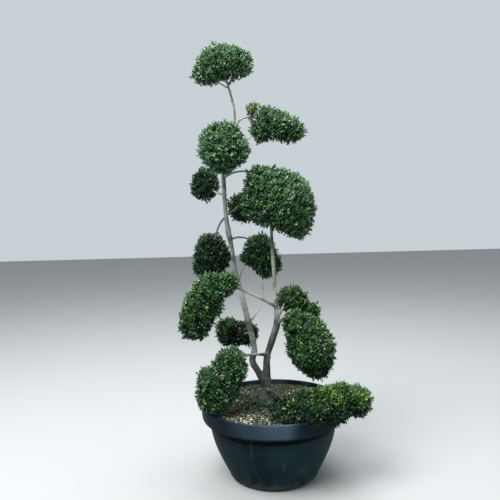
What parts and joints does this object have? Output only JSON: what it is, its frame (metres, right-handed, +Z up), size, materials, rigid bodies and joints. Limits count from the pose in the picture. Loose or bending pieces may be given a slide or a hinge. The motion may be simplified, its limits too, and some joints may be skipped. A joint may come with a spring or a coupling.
{
  "type": "potted japanese holly cloud topiary",
  "caption": "Evergreen shrub trained as a cloud tree: bare stems and boughs end in clipped clouds of small leaves, and it stands in a wide plastic bowl as a patio plant.",
  "frame": {"origin": "centre of the pot's flat underside, at the level of the floor it stands on", "axes": "+Z up the plant, -Y towards the viewer of the front, +X to that viewer's right"},
  "size_m": [0.7006, 0.5694, 1.6745],
  "materials": {
    "pot": "matte moulded plastic, dusty and lightly scuffed",
    "soil": "rough moist potting soil with bark chips and dry leaves",
    "bark": "smooth grey-brown bark",
    "foliage": "small glossy dark green leaves"
  },
  "bodies": {
    "root": {"pot": "pot", "soil": "soil", "trunk": "bark", "right_stem": "bark", "left_stem": "bark", "leader": "bark", "crown_stem": "bark", "upper_right_bough": "bark", "upper_right_twig": "bark", "upper_left_bough": "bark", "great_bough": "bark", "back_left_high_bough": "bark", "back_middle_high_bough": "bark", "back_left_bough": "bark", "back_middle_bough": "bark", "back_middle_low_twig": "bark", "back_middle_twig": "bark", "left_bough": "bark", "back_left_low_bough": "bark", "back_right_bough": "bark", "right_bough": "bark", "pot_left_bough": "bark", "pot_right_bough": "bark", "crown_cloud": "foliage", "upper_right_cloud": "foliage", "upper_left_cloud": "foliage", "great_cloud": "foliage", "back_left_high_cloud": "foliage", "back_middle_high_cloud": "foliage", "back_left_cloud": "foliage", "back_middle_cloud": "foliage", "left_cloud": "foliage", "back_left_low_cloud": "foliage", "back_right_cloud": "foliage", "right_cloud": "foliage", "pot_left_cloud": "foliage", "pot_right_cloud": "foliage"}
  },
  "joints": []
}
